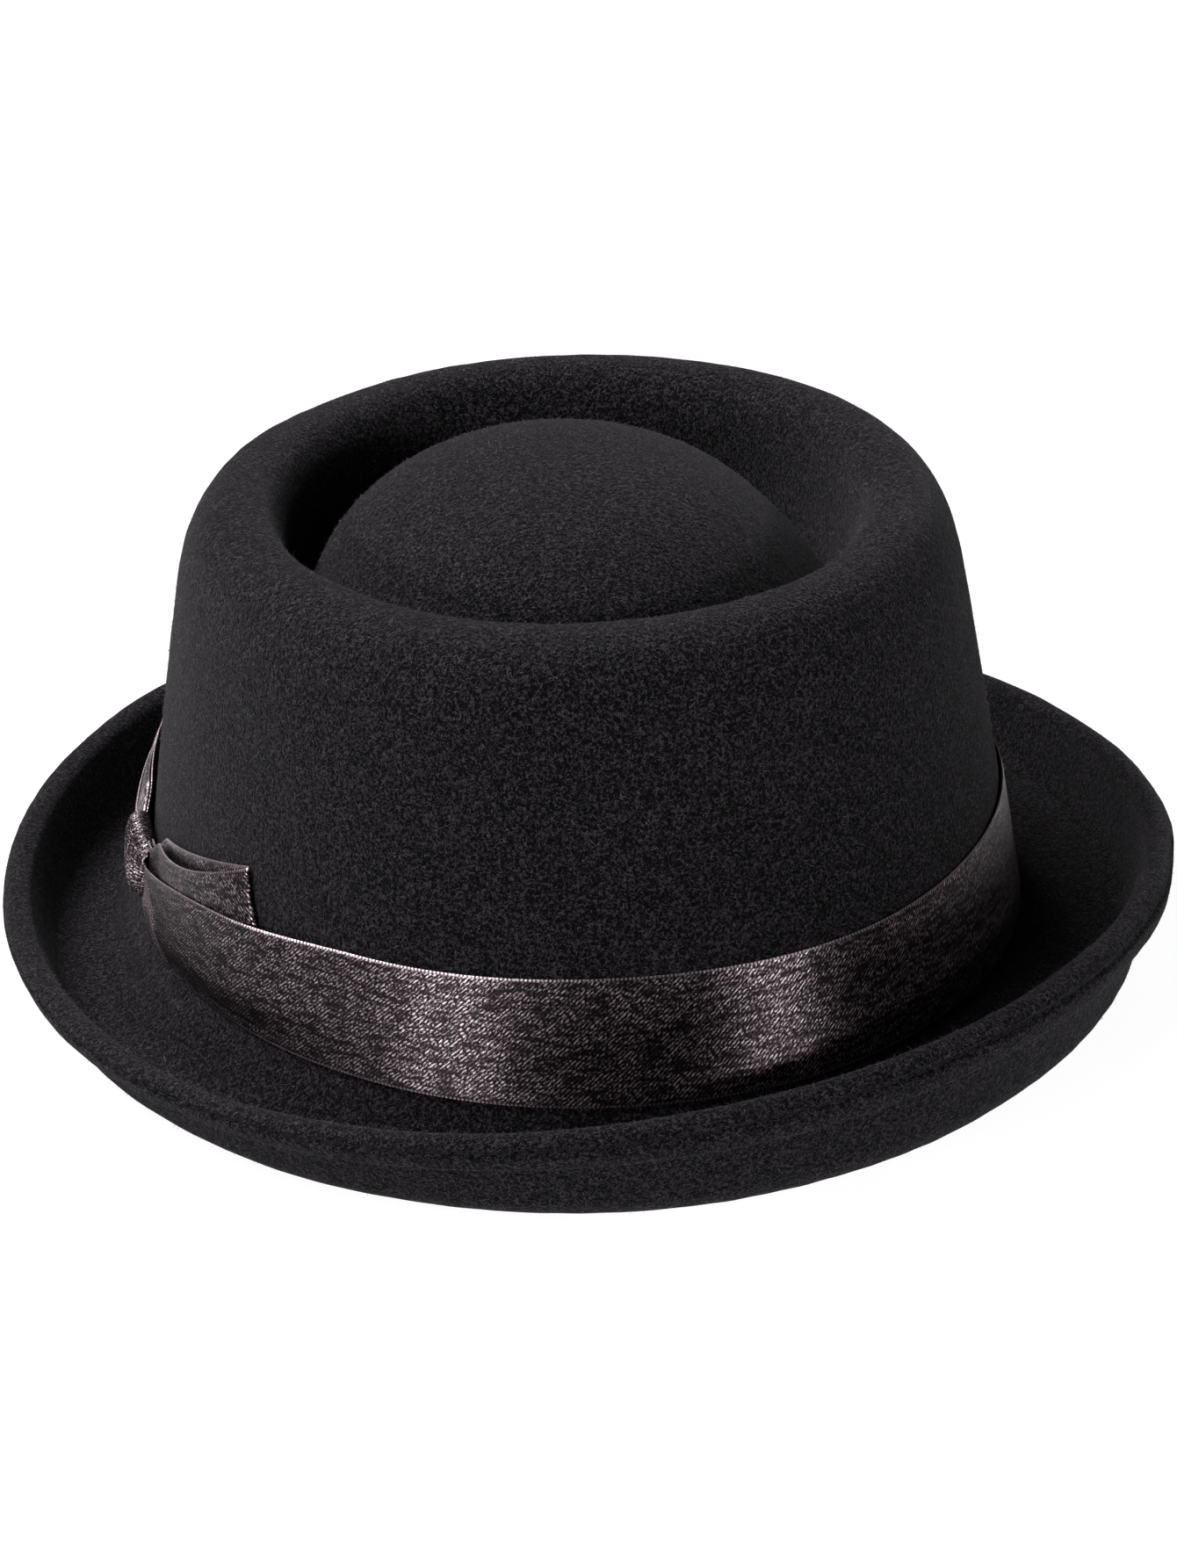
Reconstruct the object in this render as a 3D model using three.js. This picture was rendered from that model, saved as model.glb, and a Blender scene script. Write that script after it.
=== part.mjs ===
// Pork pie hat: a one-piece felt body with a rolled brim and turned edge, a ribbon band and bow,
// a leather sweatband and a satin lining.
// Millimetres, +Z up. The origin is on the resting plane, under the middle of the crown.
// +Y is the wearer's front, -X is the wearer's left, where the bow is.
//
// Every piece is drawn in round hat coordinates (radius, angle, height). One common mapping then
// turns circles into the head's oval, leans the crown and waves the lip. All pieces share that
// mapping, so the gaps between them stay as they are drawn.
import * as THREE from 'three';

const GAP = 0.3;                    // clearance between neighbouring pieces
const RING_STEPS = 48;              // steps round the hat

// Crown
const OVAL = 1.186;                 // length over width
const FELT = 2.6;                   // thickness of the felt
const BREAK_Z = 10;                 // the brim meets the crown at this height
const ROOT_RADIUS = 87.7;           // outside of the crown at the break
const SIDE_TAPER = 0.128;           // the side leans in by this per millimetre of height,
const SIDE_CURVE = 0.00022;         // and by this per millimetre squared
const SHOULDER_Z = 78;              // the side ends here and the ridge begins
const RIDGE_RADIUS = 64.5;
const RIDGE_Z = 96;
const MOAT_RADIUS = 54;
const MOAT_Z = 69.7;
const DOME_Z = 104.3;
const END_TAPER = 0.0003;           // extra lean of its front and back, share per millimetre
const CROWN_SHIFT = -1.2;           // the crown's middle against the brim's middle
const SIDE_LEAN = 0.026;            // the side leans this much towards +X per millimetre,
const RIDGE_LEAN = 0.046;           // and the inside of the ridge this much
const CROWN_TILT = 0.028;           // at the break its levels fall this much towards +X,
const TILT_EASE = 0.0002;           // and less higher up, by this per millimetre
const RIDGE_FALL = 0.00014;         // the ridge falls to the front, per millimetre squared
// Handle lengths of the felt's curves: the longer, the fuller the curve.
const HANDLE = {
  dome: 8, moat: 4, ridgeInside: 10, ridgeOutside: 6, shoulder: 13, root: 4.1, land: 6.1,
};

// Brim
const TROUGH_RADIUS = 105.2;        // outer edge of the flat land that the hat rests on
const LAND = 4.6;                   // width of that land
const CURL_RADIUS = 6.5;            // underside radius where the brim turns up
const CURL_ANGLE = 70;              // degrees from level at the end of the curl
const LIP_RADIUS = 115.2;           // middle of the rolled lip, across the hat
const LIP_Z = 15.8;                 // and its average height
const ROLL = 3.1;                   // radius of the lip's round
const TURNED_EDGE = 2.2;            // straight run of the turned edge below the round
const END_GROWTH = 1.1;             // the brim is this much wider in front and behind
const LIP_TILT = { size: 3.4, at: -80 };
const LIP_WAVE = { size: 3.4, at: -55 };
const STITCH_AT = 18;               // degrees round the lip, from straight out
const STITCH_RADIUS = 0.25;
const GROOVE = { half: 11, depth: 0.75 };  // half-width in degrees round the lip

// Ribbon
const RIBBON = 0.6;
const BAND_Z = BREAK_Z + 1;
const BAND_HEIGHT = 24.2;
const BOW_AT = 179;                 // degrees round the hat
const KNOT_REACH = 4.2;             // degrees from the knot's middle to its side
const KNOT_Z = BAND_Z + 6.8;
const KNOT_HEIGHT = 14.6;
const KNOT_DEPTH = 6.2;             // the knot stands this far off the felt
const KNOT_WALL = 0.8;
const RIBBON_ROOT = 0.8;            // degrees from the knot's middle to the ends in it
const WING_REACH = 31.5;            // degrees from the knot's middle to a wing's far end
const WING_BULGE = 1.2;             // how far a wing's two layers part
const WING_ROOT_Z = [9, 19.6];      // lower and upper edge of a wing in the knot, above BAND_Z
const WING_TIP_Z = [10, 33.5];      // and at its far end
const BAND_OVER_WING = 3.4;         // the band stands this far off the felt where it covers a wing
const BAND_ROOT_Z = [8.4, 14.5];    // lower and upper edge of the band in the knot
const BAND_STEPS = 80;

// Sweatband and lining
const LEATHER = 0.9;
const LINING = 0.4;
const LINING_OFF = FELT + 0.1 + GAP;                 // outer face of the lining, in from the felt
const LEATHER_OFF = LINING_OFF + LINING + GAP;       // outer face of the leather
const SWEATBAND_Z = [8, 44];
const BACK = 270;                   // degrees round the hat
const JOINT = 0.25;                 // half the opening of a joint, in degrees
const JOINT_BOW = { length: 16, height: 8, waist: 3.2, thickness: 1.2 };
const LABEL = { length: 9, height: 8, thickness: 0.3, fromJoint: 20 };
const LABEL_Z = 22;                 // middle of the label and of the bow over the joint
const REED = { radius: 0.8, z: 5.9, at: ROOT_RADIUS - LEATHER_OFF - LEATHER / 2 };
const TAPE = 0.4;
const SEAM_Z = SWEATBAND_Z[0] + 2;
const LINING_Z = [32, 61];
const TIP_SAG = 1.5;                // the lining's tip hangs this much in its middle

const LOOKS = {
  felt: { color: 0x17151a, roughness: 0.95 },
  ribbon: { color: 0x2a2328, roughness: 0.42 },
  thread: { color: 0x121114, roughness: 0.8 },
  leather: { color: 0x2b1d15, roughness: 0.6 },
  plastic: { color: 0xd8d4c8, roughness: 0.4 },
  tape: { color: 0x1c1a1c, roughness: 0.8 },
  lining: { color: 0x202024, roughness: 0.35 },
  label: { color: 0xe6e2d8, roughness: 0.7 },
};

const { lerp, degToRad, smoothstep } = THREE.MathUtils;
const vector = (x, y) => new THREE.Vector2(x, y);

// Half-length of the oval whose half-width is `radius`.
function halfLength(radius) {
  if (radius <= ROOT_RADIUS) return radius * OVAL;
  return ROOT_RADIUS * OVAL + (radius - ROOT_RADIUS) * END_GROWTH;
}

// How far the lip stands above its average height at an angle round the hat.
function lipLift(angle) {
  const tilt = LIP_TILT.size * Math.cos(angle - degToRad(LIP_TILT.at));
  const wave = LIP_WAVE.size * Math.cos(2 * (angle - degToRad(LIP_WAVE.at)));
  return tilt + wave;
}

// From round hat coordinates to the hat's own frame.
function place(radius, angle, height) {
  const curl = smoothstep(radius, TROUGH_RADIUS - 7, TROUGH_RADIUS + 3);
  const crown = 1 - smoothstep(radius, ROOT_RADIUS + 1, TROUGH_RADIUS - LAND - 1);
  const x = radius * Math.cos(angle);
  const ends = 1 - END_TAPER * Math.max(height - BREAK_Z, 0) * crown;
  const y = halfLength(radius) * Math.sin(angle) * ends;
  const z = height * (1 + curl * lipLift(angle) / LIP_Z);
  // The dome stays upright, the ridge leans most and the side a little.
  const share = smoothstep(radius, MOAT_RADIUS - 12, RIDGE_RADIUS);
  const slant = lerp(RIDGE_LEAN, SIDE_LEAN, smoothstep(radius, RIDGE_RADIUS, RIDGE_RADIUS + 10));
  const lean = (z - BREAK_Z) * slant * share;
  const drop = x * (CROWN_TILT - (z - BREAK_Z) * TILT_EASE) + y * (z - BREAK_Z) * RIDGE_FALL;
  return new THREE.Vector3(x + (lean + CROWN_SHIFT) * crown, y, z - drop * crown);
}

// Move every vertex of a geometry.
function remap(geometry, toPoint) {
  const position = geometry.attributes.position;
  const point = new THREE.Vector3();
  for (let i = 0; i < position.count; i += 1) {
    point.fromBufferAttribute(position, i);
    const moved = toPoint(point);
    position.setXYZ(i, moved.x, moved.y, moved.z);
  }
  geometry.deleteAttribute('uv');
  geometry.computeVertexNormals();
  return geometry;
}

// Turn an outline of (radius, height) points all the way round the hat.
function turned(outline) {
  const lathe = new THREE.LatheGeometry(outline, RING_STEPS);
  return remap(lathe, (p) => place(Math.hypot(p.x, p.z), Math.atan2(p.x, p.z), p.y));
}

// Bend a flat piece round the crown: its x is the distance out from the felt's outer face,
// its y is degrees round the hat and its z is the height.
function bent(geometry) {
  return remap(geometry, (p) => place(crownRadius(p.z) + p.x, degToRad(p.y), p.z));
}

// Outside of the crown's side at a height.
function crownRadius(z) {
  const above = z - BREAK_Z;
  return ROOT_RADIUS - SIDE_TAPER * above - SIDE_CURVE * above * above;
}

// The outline moved sideways, each stretch staying parallel: positive is to the left of its run.
function offset(outline, distance) {
  const sides = outline.slice(1).map((point, i) => {
    const run = point.clone().sub(outline[i]).normalize();
    return vector(-run.y, run.x);
  });
  return outline.map((point, i) => {
    const before = sides[Math.max(i - 1, 0)];
    const after = sides[Math.min(i, sides.length - 1)];
    const side = before.clone().add(after).normalize();
    const stretch = Math.min(1 / side.dot(before), 1.5);
    return point.clone().addScaledVector(side, distance * stretch);
  });
}

function arc(centre, radius, from, to, steps) {
  const points = [];
  for (let i = 0; i <= steps; i += 1) {
    const angle = degToRad(lerp(from, to, i / steps));
    points.push(vector(centre.x + radius * Math.cos(angle), centre.y + radius * Math.sin(angle)));
  }
  return points;
}

const lipMiddle = vector(LIP_RADIUS, LIP_Z);
const lipRun = vector(Math.cos(degToRad(CURL_ANGLE)), Math.sin(degToRad(CURL_ANGLE)));
const lipOut = vector(lipRun.y, -lipRun.x);

// A point near the lip: `out` from its middle across the roll, `down` along the rim.
function lipPoint(out, down) {
  return lipMiddle.clone().addScaledVector(lipOut, out).addScaledVector(lipRun, -down);
}

// Middle line of the felt, from the middle of the dome out to the turned edge.
function feltMiddle() {
  const half = FELT / 2;
  const shoulder = vector(crownRadius(SHOULDER_Z) - half, SHOULDER_Z);
  const root = vector(crownRadius(BAND_Z - 0.3) - half, BAND_Z - 0.3);
  const land = vector(TROUGH_RADIUS - LAND, half);
  const dome = new THREE.CubicBezierCurve(
    vector(0, DOME_Z - half),
    vector(MOAT_RADIUS - HANDLE.dome, DOME_Z - half),
    vector(MOAT_RADIUS - HANDLE.moat, MOAT_Z - half),
    vector(MOAT_RADIUS, MOAT_Z - half),
  );
  const innerWall = new THREE.CubicBezierCurve(
    vector(MOAT_RADIUS, MOAT_Z - half),
    vector(MOAT_RADIUS + HANDLE.moat, MOAT_Z - half),
    vector(RIDGE_RADIUS - HANDLE.ridgeInside, RIDGE_Z - half),
    vector(RIDGE_RADIUS, RIDGE_Z - half),
  );
  const ridge = new THREE.CubicBezierCurve(
    vector(RIDGE_RADIUS, RIDGE_Z - half),
    vector(RIDGE_RADIUS + HANDLE.ridgeOutside, RIDGE_Z - half),
    vector(crownRadius(shoulder.y + HANDLE.shoulder) - half, shoulder.y + HANDLE.shoulder),
    shoulder,
  );
  const brim = new THREE.CubicBezierCurve(
    root,
    vector(crownRadius(root.y - HANDLE.root) - half, root.y - HANDLE.root),
    vector(land.x - HANDLE.land, half),
    land,
  );
  const side = [1, 2, 3].map((step) => {
    const z = lerp(SHOULDER_Z, root.y, step / 4);
    return vector(crownRadius(z) - half, z);
  });
  return [
    ...dome.getPoints(6),
    ...innerWall.getPoints(5).slice(1),
    ...ridge.getPoints(5).slice(1),
    ...side,
    ...brim.getPoints(4),
    ...arc(vector(TROUGH_RADIUS, CURL_RADIUS), CURL_RADIUS - half, -90, CURL_ANGLE - 90, 4),
    lipPoint(half - ROLL, TURNED_EDGE),
  ];
}

// Crown and brim in one piece. The edge is turned over outward, so the rim is two layers thick
// down to the raw edge, and a groove in the turned layer takes the stitching.
function feltBody() {
  const middle = feltMiddle();
  const grooveTop = STITCH_AT + GROOVE.half;
  const grooveBottom = STITCH_AT - GROOVE.half;
  const upperFace = offset(middle, FELT / 2);
  const underFace = offset(middle, -FELT / 2).reverse();
  upperFace[0].x = 0;
  underFace[underFace.length - 1].x = 0;
  return turned([
    ...upperFace,
    ...arc(lipMiddle, ROLL, CURL_ANGLE + 90, grooveTop, 6),
    ...arc(lipMiddle, ROLL - GROOVE.depth, grooveTop, grooveBottom, 1),
    ...arc(lipMiddle, ROLL, grooveBottom, CURL_ANGLE - 90, 2),
    lipPoint(ROLL, TURNED_EDGE),
    ...underFace,
  ].reverse());
}

// Row of stitches round the rim, lying in its groove.
function edgeStitching() {
  const fromLip = ROLL - GROOVE.depth + GAP + STITCH_RADIUS;
  const [middle] = arc(lipMiddle, fromLip, STITCH_AT, STITCH_AT, 1);
  return turned(arc(middle, STITCH_RADIUS, 0, 360, 6));
}

// A strip laid round the crown with its ends at the back or in the bow.
function strip(out, thickness, startAngle, sweep, zRange, heightSteps) {
  const [low, high] = zRange;
  const box = new THREE.BoxGeometry(thickness, sweep, high - low, 1, RING_STEPS, heightSteps);
  return box.translate(out + thickness / 2, startAngle + sweep / 2, (low + high) / 2);
}

// The band rises over the bow's wings and narrows into the knot. Its steps are closer
// together near the knot.
function hatBand() {
  const flat = new THREE.BoxGeometry(RIBBON, 1, 1, 1, BAND_STEPS, 3);
  return bent(remap(flat, (p) => {
    const along = p.y + 0.5 - 0.6 * Math.sin(2 * Math.PI * (p.y + 0.5)) / (2 * Math.PI);
    const turn = lerp(RIBBON_ROOT, 360 - RIBBON_ROOT, along);
    const away = Math.min(turn, 360 - turn);
    const overWing = 1 - smoothstep(away, WING_REACH + 1, WING_REACH + 9);
    const byKnot = 1 - smoothstep(away, KNOT_REACH + 2, KNOT_REACH + 9);
    const aboveHem = Math.min(3 * (p.z + 0.5), 1);
    const lift = lerp(GAP, BAND_OVER_WING, overWing * lerp(aboveHem, 1, byKnot));
    const low = lerp(BAND_ROOT_Z[0], 0, smoothstep(away, KNOT_REACH, KNOT_REACH + 8));
    const high = lerp(BAND_ROOT_Z[1], BAND_HEIGHT, Math.min(away / (WING_REACH + 5), 1));
    const out = p.x + RIBBON / 2 + lift;
    return new THREE.Vector3(out, BOW_AT + turn, BAND_Z + lerp(low, high, p.z + 0.5));
  }));
}

// Middle line of a wing's ribbon seen from above, as (millimetres out from the felt, degrees
// from the knot): out along the felt, round the fold and back along the front.
function wingLine() {
  const steps = 11;
  const back = [];
  const front = [];
  for (let i = 0; i <= steps; i += 1) {
    const away = lerp(RIBBON_ROOT, WING_REACH - 1, (i / steps) ** 1.3);
    const rootLift = 1.1 * (1 - smoothstep(away, KNOT_REACH, KNOT_REACH + 4));
    const swell = Math.sin(Math.PI * Math.min(away / WING_REACH, 1)) ** 2;
    const parting = RIBBON + GAP + WING_BULGE * swell;
    const inner = GAP + RIBBON / 2 + rootLift;
    back.push(vector(inner, away));
    front.unshift(vector(inner + parting, away));
  }
  const fold = vector(GAP + RIBBON / 2 + (RIBBON + GAP) / 2, WING_REACH - RIBBON / 2);
  return [...back, fold, ...front];
}

// A loop of ribbon that leaves the knot and rises behind the band.
function bowWing(side) {
  const line = wingLine();
  const inner = offset(line, RIBBON / 2);
  const outer = offset(line, -RIBBON / 2);
  const last = line.length - 1;
  // On the far side the box has a negative width, which the mirroring turns right side out.
  const flat = new THREE.BoxGeometry(side, last, 1, 1, last, 3);
  return bent(remap(flat, (p) => {
    const i = Math.round(p.y + last / 2);
    const point = inner[i].clone().lerp(outer[i], p.x + 0.5);
    const from = KNOT_REACH + 1;
    const along = Math.max(point.y - from, 0) / (WING_REACH - from);
    const low = lerp(WING_ROOT_Z[0], WING_TIP_Z[0], along);
    const high = lerp(WING_ROOT_Z[1], WING_TIP_Z[1], along);
    return new THREE.Vector3(point.x, BOW_AT + side * point.y, BAND_Z + lerp(low, high, p.z + 0.5));
  }));
}

function roundedRectangle(Type, x, y, width, height, radius) {
  const outline = new Type();
  outline.moveTo(x + radius, y);
  outline.absarc(x + width - radius, y + radius, radius, -Math.PI / 2, 0);
  outline.absarc(x + width - radius, y + height - radius, radius, 0, Math.PI / 2);
  outline.absarc(x + radius, y + height - radius, radius, Math.PI / 2, Math.PI);
  outline.absarc(x + radius, y + radius, radius, Math.PI, Math.PI * 1.5);
  return outline;
}

// Ribbon wrapped crosswise round the ends of the band and the wings.
function bowKnot() {
  const depth = KNOT_DEPTH - GAP;
  const wall = KNOT_WALL;
  const round = 2.2;
  const sleeve = roundedRectangle(THREE.Shape, GAP, KNOT_Z, depth, KNOT_HEIGHT, round);
  sleeve.holes.push(roundedRectangle(THREE.Path, GAP + wall, KNOT_Z + wall,
    depth - 2 * wall, KNOT_HEIGHT - 2 * wall, round - wall));
  const knot = new THREE.ExtrudeGeometry(sleeve, {
    depth: 2 * KNOT_REACH, steps: 4, curveSegments: 4, bevelEnabled: false,
  });
  knot.rotateX(Math.PI / 2);
  return bent(knot.translate(0, BOW_AT + KNOT_REACH, 0));
}

function sweatband() {
  const flat = strip(-LEATHER_OFF - LEATHER, LEATHER, BACK + JOINT, 360 - 2 * JOINT, SWEATBAND_Z, 2);
  return bent(flat);
}

function liningSide() {
  const flat = strip(-LINING_OFF - LINING, LINING, BACK + JOINT, 360 - 2 * JOINT, LINING_Z, 2);
  return bent(flat);
}

// Oval piece of satin that closes the top of the lining.
function liningTip() {
  const top = LINING_Z[1];
  const edge = crownRadius(top) - LINING_OFF - LINING - GAP;
  return turned([
    vector(0, top - LINING - TIP_SAG),
    vector(edge * 0.6, top - LINING - TIP_SAG * 0.6),
    vector(edge, top - LINING),
    vector(edge, top),
    vector(edge * 0.6, top - TIP_SAG * 0.6),
    vector(0, top - TIP_SAG),
  ]);
}

// Plastic reed in the fold of its tape, under the leather's lower edge.
function sweatbandReed() {
  return turned(arc(vector(REED.at, REED.z), REED.radius, 0, 360, 6));
}

function reedTape() {
  const centre = vector(REED.at, REED.z);
  const inside = REED.radius + GAP;
  const legTop = SWEATBAND_Z[0] - GAP;
  return turned([
    vector(REED.at - inside - TAPE, legTop),
    ...arc(centre, inside + TAPE, 180, 360, 4),
    vector(REED.at + inside + TAPE, legTop),
    vector(REED.at + inside, legTop),
    ...arc(centre, inside, 360, 180, 4),
    vector(REED.at - inside, legTop),
    vector(REED.at - inside - TAPE, legTop),
  ]);
}

// Row of stitches that holds the leather to the tape, on the leather's inner face.
function sweatbandSeam() {
  const out = crownRadius(SEAM_Z) - LEATHER_OFF - LEATHER - GAP - STITCH_RADIUS;
  return turned(arc(vector(out, SEAM_Z), STITCH_RADIUS, 0, 360, 6));
}

// Small flat bow that covers the joint of the leather at the back.
function jointBow() {
  const { length, height, waist, thickness } = JOINT_BOW;
  const end = length / 2;
  const [wide, narrow] = [height / 2, waist / 2];
  const bow = new THREE.Shape();
  bow.moveTo(-end, -wide);
  bow.quadraticCurveTo(-end / 3, -narrow * 1.5, 0, -narrow);
  bow.quadraticCurveTo(end / 3, -narrow * 1.5, end, -wide);
  bow.quadraticCurveTo(end + 1, 0, end, wide);
  bow.quadraticCurveTo(end / 3, narrow * 1.5, 0, narrow);
  bow.quadraticCurveTo(-end / 3, narrow * 1.5, -end, wide);
  bow.quadraticCurveTo(-end - 1, 0, -end, -wide);
  const flat = new THREE.ExtrudeGeometry(bow, {
    depth: thickness, curveSegments: 4, bevelEnabled: false,
  });
  flat.rotateX(Math.PI / 2).rotateZ(Math.PI / 2);
  return bent(flat.translate(-LEATHER_OFF - LEATHER - 2 * GAP - thickness, BACK, LABEL_Z));
}

// Blank size label on the leather's inner face.
function sizeTab() {
  const { length, height, thickness, fromJoint } = LABEL;
  const label = new THREE.BoxGeometry(thickness, length, height, 1, 3, 1);
  const out = -LEATHER_OFF - LEATHER - GAP - thickness;
  return bent(label.translate(out, BACK - fromJoint, LABEL_Z));
}

function piece(name, geometry, look) {
  const material = new THREE.MeshStandardMaterial({ ...LOOKS[look], metalness: 0 });
  const mesh = new THREE.Mesh(geometry, material);
  mesh.name = name;
  return mesh;
}

const hat = new THREE.Group();
hat.add(
  piece('felt_body', feltBody(), 'felt'),
  piece('edge_stitching', edgeStitching(), 'thread'),
  piece('hat_band', hatBand(), 'ribbon'),
  piece('bow_near_wing', bowWing(1), 'ribbon'),
  piece('bow_far_wing', bowWing(-1), 'ribbon'),
  piece('bow_knot', bowKnot(), 'ribbon'),
  piece('sweatband', sweatband(), 'leather'),
  piece('sweatband_reed', sweatbandReed(), 'plastic'),
  piece('reed_tape', reedTape(), 'tape'),
  piece('sweatband_seam', sweatbandSeam(), 'thread'),
  piece('sweatband_joint_bow', jointBow(), 'ribbon'),
  piece('lining_side', liningSide(), 'lining'),
  piece('lining_tip', liningTip(), 'lining'),
  piece('size_tab', sizeTab(), 'label'),
);

export default hat;
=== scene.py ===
"""A felt pork pie hat with a rolled brim, a satin ribbon band and bow, and its lining.

Every piece is drawn in round hat coordinates, in millimetres and degrees: distance from the
axis, angle round the hat and height. place() turns circles into the head's oval, leans the
crown and waves the lip, exactly as the CAD part does. Meshes are stored in metres, +Z up.
"""
import math

import bpy
import numpy as np
from mathutils import Matrix, Vector

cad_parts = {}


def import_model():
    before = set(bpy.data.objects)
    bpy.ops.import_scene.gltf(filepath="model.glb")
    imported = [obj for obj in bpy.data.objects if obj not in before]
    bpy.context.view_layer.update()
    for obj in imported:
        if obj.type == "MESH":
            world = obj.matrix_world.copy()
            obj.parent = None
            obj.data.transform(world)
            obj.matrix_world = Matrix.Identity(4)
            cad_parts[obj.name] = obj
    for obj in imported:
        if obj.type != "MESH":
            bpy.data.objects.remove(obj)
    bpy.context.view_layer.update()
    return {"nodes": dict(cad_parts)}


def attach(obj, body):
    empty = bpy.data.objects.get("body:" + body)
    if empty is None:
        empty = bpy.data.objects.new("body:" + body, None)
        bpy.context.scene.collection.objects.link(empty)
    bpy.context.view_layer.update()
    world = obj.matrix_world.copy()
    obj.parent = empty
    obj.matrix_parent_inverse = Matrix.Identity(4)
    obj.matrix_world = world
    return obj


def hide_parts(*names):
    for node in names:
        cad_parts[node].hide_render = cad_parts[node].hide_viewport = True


SEED = 7
MM = 0.001

# Crown, as in the CAD part
OVAL = 1.186
FELT = 2.6
BREAK_Z = 10
ROOT_RADIUS = 87.7
SIDE_TAPER = 0.128
SIDE_CURVE = 0.00022
SHOULDER_Z = 78
RIDGE_RADIUS = 64.5
RIDGE_Z = 96
MOAT_RADIUS = 54
MOAT_Z = 69.7
DOME_Z = 104.3
END_TAPER = 0.0003
CROWN_SHIFT = -1.2
SIDE_LEAN = 0.026
RIDGE_LEAN = 0.046
CROWN_TILT = 0.028
TILT_EASE = 0.0002
RIDGE_FALL = 0.00014
HANDLE = {"dome": 8, "moat": 4, "ridge_inside": 10, "ridge_outside": 6, "shoulder": 13,
          "root": 4.1, "land": 6.1}

# Brim
TROUGH_RADIUS = 105.2
LAND = 4.6
CURL_RADIUS = 6.5
CURL_ANGLE = 70
LIP_RADIUS = 115.2
LIP_Z = 15.8
ROLL = 3.1
TURNED_EDGE = 2.2
END_GROWTH = 1.1
LIP_TILT = (3.4, -80)
LIP_WAVE = (3.4, -55)
STITCH_AT = 18
GROOVE_HALF = 11
GROOVE_DEPTH = 0.75
LIP_STITCHES = 250

# Felt surface: waves of these lengths and heights, and the loose fibres on it
FELT_TURNS = 360
BROAD_WAVES = (31, 37, 44, 52, 68)
BROAD_HEIGHT = 0.16
FINE_WAVES = (5.5, 6.5, 7.7, 9.1)
FINE_HEIGHT = 0.04
FIBRES = 90000
FIBRE_WIDTH = 0.03
FIBRE_LENGTH = (0.2, 1.8)
FIBRE_RISE = (0.25, 0.9)

# Ribbon
GAP = 0.3
RIBBON = 0.6
BAND_Z = BREAK_Z + 1
BAND_HEIGHT = 24.2
BOW_AT = 179
KNOT_REACH = 4.2
KNOT_Z = BAND_Z + 6.8
KNOT_HEIGHT = 14.6
KNOT_DEPTH = 6.2
RIBBON_ROOT = 0.8
WING_REACH = 31.5
WING_ROOT_Z = (9, 19.6)
WING_TIP_Z = (10, 33.5)
BAND_OVER_WING = 3.4
BAND_ROOT_Z = (8.4, 14.5)
BAND_CLOTH = 0.45
WING_CLOTH = 0.4
WING_PLY = 0.45
WING_PARTING = 1.2
WING_SAG = 2.3
PILLOW = 3.8
PLEAT = 0.34
PLEATS = 8
TWILL_ANGLE = 38
HEM = 0.05
HEM_AT = 0.5
HEM_SPREAD = 0.35

# Sweatband and lining
LEATHER = 0.9
LINING = 0.4
LINING_OFF = FELT + 0.1 + GAP
LEATHER_OFF = LINING_OFF + LINING + GAP
LEATHER_Z = (8, 44)
BACK = 270
REED_RADIUS = 0.8
REED_Z = 5.9
REED_AT = ROOT_RADIUS - LEATHER_OFF - LEATHER / 2
TAPE = 0.4
LINING_Z = (32, 61)
LINING_CLOTH = 0.25
TIP_SAG = 1.5
TIP_PUCKERS = 48
LEATHER_STITCHES = 190
LABEL_Z = 22
LABEL_FROM_JOINT = 20

# Camera
AZIMUTH = -9.02
ELEVATION = 24.40
ROLL_ANGLE = -3.68
AIM = Vector((0.0018, -0.0004, 0.0311))
DISTANCE = 1.2213
LENS_MM = 138.5
SENSOR_MM = 36
LIGHT_DISTANCE = 1.7
FLOOR_RADIUS = 6


# ---------------------------------------------------------------- shape of the hat

def smooth(value, low, high):
    """0 below low, 1 above high, with an even turn between them."""
    t = np.clip((value - low) / (high - low), 0, 1)
    return t * t * (3 - 2 * t)


def lerp(a, b, t):
    return a + (b - a) * t


def half_length(radius):
    """Half-length of the oval whose half-width is radius."""
    beyond = np.maximum(radius - ROOT_RADIUS, 0)
    return np.minimum(radius, ROOT_RADIUS) * OVAL + beyond * END_GROWTH


def lip_lift(angle):
    """How far the lip stands above its average height at an angle round the hat."""
    tilt = LIP_TILT[0] * np.cos(angle - math.radians(LIP_TILT[1]))
    wave = LIP_WAVE[0] * np.cos(2 * (angle - math.radians(LIP_WAVE[1])))
    return tilt + wave


def place(radius, degrees, height):
    """From round hat coordinates to the hat's own frame, in metres."""
    radius, degrees, height = np.broadcast_arrays(radius, degrees, height)
    angle = np.radians(degrees)
    curl = smooth(radius, TROUGH_RADIUS - 7, TROUGH_RADIUS + 3)
    crown = 1 - smooth(radius, ROOT_RADIUS + 1, TROUGH_RADIUS - LAND - 1)
    x = radius * np.cos(angle)
    ends = 1 - END_TAPER * np.maximum(height - BREAK_Z, 0) * crown
    y = half_length(radius) * np.sin(angle) * ends
    z = height * (1 + curl * lip_lift(angle) / LIP_Z)
    slant = lerp(RIDGE_LEAN, SIDE_LEAN, smooth(radius, RIDGE_RADIUS, RIDGE_RADIUS + 10))
    lean = (z - BREAK_Z) * slant * smooth(radius, MOAT_RADIUS - 12, RIDGE_RADIUS)
    drop = x * (CROWN_TILT - (z - BREAK_Z) * TILT_EASE) + y * (z - BREAK_Z) * RIDGE_FALL
    return np.stack([x + (lean + CROWN_SHIFT) * crown, y, z - drop * crown], axis=-1) * MM


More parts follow.
